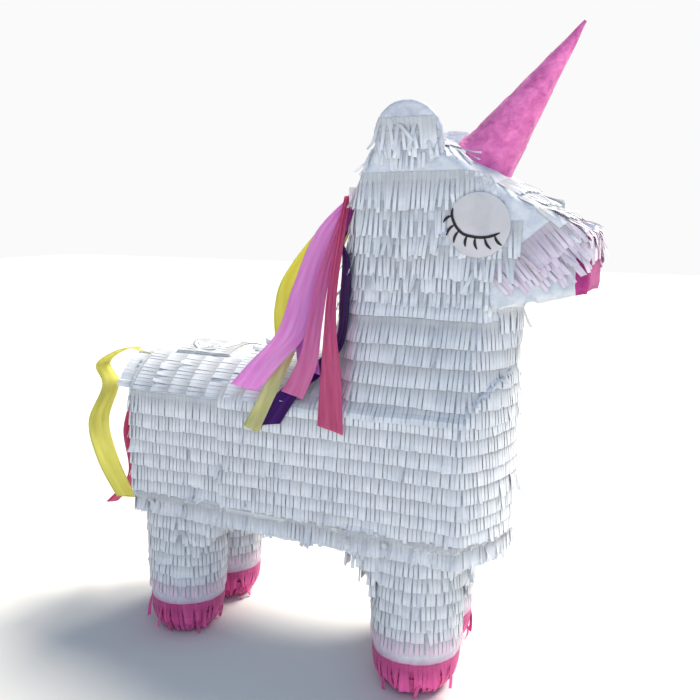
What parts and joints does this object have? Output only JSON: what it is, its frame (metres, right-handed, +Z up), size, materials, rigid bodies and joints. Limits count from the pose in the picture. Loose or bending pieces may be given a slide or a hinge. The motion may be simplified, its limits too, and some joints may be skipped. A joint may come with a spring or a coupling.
{
  "type": "unicorn pinata",
  "caption": "Free-standing cardboard unicorn party pinata covered in white tissue fringe, with pink hooves, a pink horn, sleeping eyes and a multicoloured crepe paper mane and tail.",
  "frame": {"origin": "on the floor, under the middle of the whole piece's length and width", "axes": "+X towards the nose, +Y to the animal's left, +Z up"},
  "size_m": [0.5518, 0.166, 0.6018],
  "materials": {
    "cardboard": "plain corrugated card, inside the paper",
    "white_tissue": "matte tissue paper cut into fringe, slightly see-through",
    "muzzle_tissue": "thin white tissue fringe over pink paper",
    "hoof_pink": "hot pink tissue fringe, matte",
    "nose_magenta": "magenta tissue, pasted smooth",
    "horn_tissue": "orchid pink tissue wrapped in wrinkled layers",
    "ear_paper": "white tissue pasted smooth over card",
    "sticker_satin": "satin coated paper sticker",
    "lash_black": "printed black ink",
    "flap_paper": "white tissue over card",
    "label_paper": "thin uncoated paper with a printed ring",
    "tie_tape": "white paper tape",
    "crepe_yellow": "crepe paper streamer",
    "crepe_orange": "crepe paper streamer",
    "crepe_pink": "crepe paper streamer",
    "crepe_rose": "crepe paper streamer",
    "crepe_magenta": "crepe paper streamer",
    "crepe_mauve": "crepe paper streamer",
    "crepe_purple": "crepe paper streamer",
    "crepe_lime": "crepe paper streamer",
    "crepe_crimson": "crepe paper streamer",
    "crepe_maroon": "crepe paper streamer"
  },
  "bodies": {
    "body": {"torso_side_right": "cardboard", "torso_side_left": "cardboard", "torso_back": "cardboard", "torso_belly": "cardboard", "torso_rump": "cardboard", "torso_chest": "cardboard", "neck_side_right": "cardboard", "neck_side_left": "cardboard", "neck_nape": "cardboard", "neck_throat": "cardboard", "head_side_right": "cardboard", "head_side_left": "cardboard", "head_crown": "cardboard", "head_jaw": "cardboard", "nose_cap": "nose_magenta", "horn_core": "cardboard", "horn_wrap": "horn_tissue", "ear_right": "ear_paper", "ear_left": "ear_paper", "eye_sticker_right": "sticker_satin", "eye_sticker_left": "sticker_satin", "lashes_right": "lash_black", "lashes_left": "lash_black", "leg_front_right": "cardboard", "leg_front_left": "cardboard", "leg_hind_right": "cardboard", "leg_hind_left": "cardboard", "hoof_front_right": "hoof_pink", "hoof_front_left": "hoof_pink", "hoof_hind_right": "hoof_pink", "hoof_hind_left": "hoof_pink", "leg_fringe_front_right": "white_tissue", "leg_fringe_front_left": "white_tissue", "leg_fringe_hind_right": "white_tissue", "leg_fringe_hind_left": "white_tissue", "hoof_fringe_front_right": "hoof_pink", "hoof_fringe_front_left": "hoof_pink", "hoof_fringe_hind_right": "hoof_pink", "hoof_fringe_hind_left": "hoof_pink", "torso_fringe": "white_tissue", "back_fringe": "white_tissue", "neck_fringe": "white_tissue", "head_fringe": "white_tissue", "muzzle_fringe": "muzzle_tissue", "mane_tie": "tie_tape", "tail_tie": "tie_tape"},
    "door": {"fill_flap": "flap_paper", "fill_label": "label_paper"},
    "mane": {"mane_yellow": "crepe_yellow", "mane_orange": "crepe_orange", "mane_pink": "crepe_pink", "mane_rose": "crepe_rose", "mane_magenta": "crepe_magenta", "mane_mauve": "crepe_mauve", "mane_purple": "crepe_purple", "mane_lime": "crepe_lime"},
    "tail": {"tail_yellow": "crepe_yellow", "tail_crimson": "crepe_crimson", "tail_maroon": "crepe_maroon", "tail_purple": "crepe_purple"}
  },
  "joints": [
    {"name": "door_hinge", "type": "hinge", "parent": "body", "child": "door", "pos_m": [-0.108, 0.033, 0.2981], "axis": [-1, 0, 0], "range_deg": [0, 110]},
    {"name": "mane_swing", "type": "hinge", "parent": "body", "child": "mane", "pos_m": [0.053, -0.009, 0.461], "axis": [0, 1, 0], "range_deg": [0, 50]},
    {"name": "tail_swing", "type": "hinge", "parent": "body", "child": "tail", "pos_m": [-0.188, 0, 0.283], "axis": [0, 1, 0], "range_deg": [0, 60]}
  ]
}
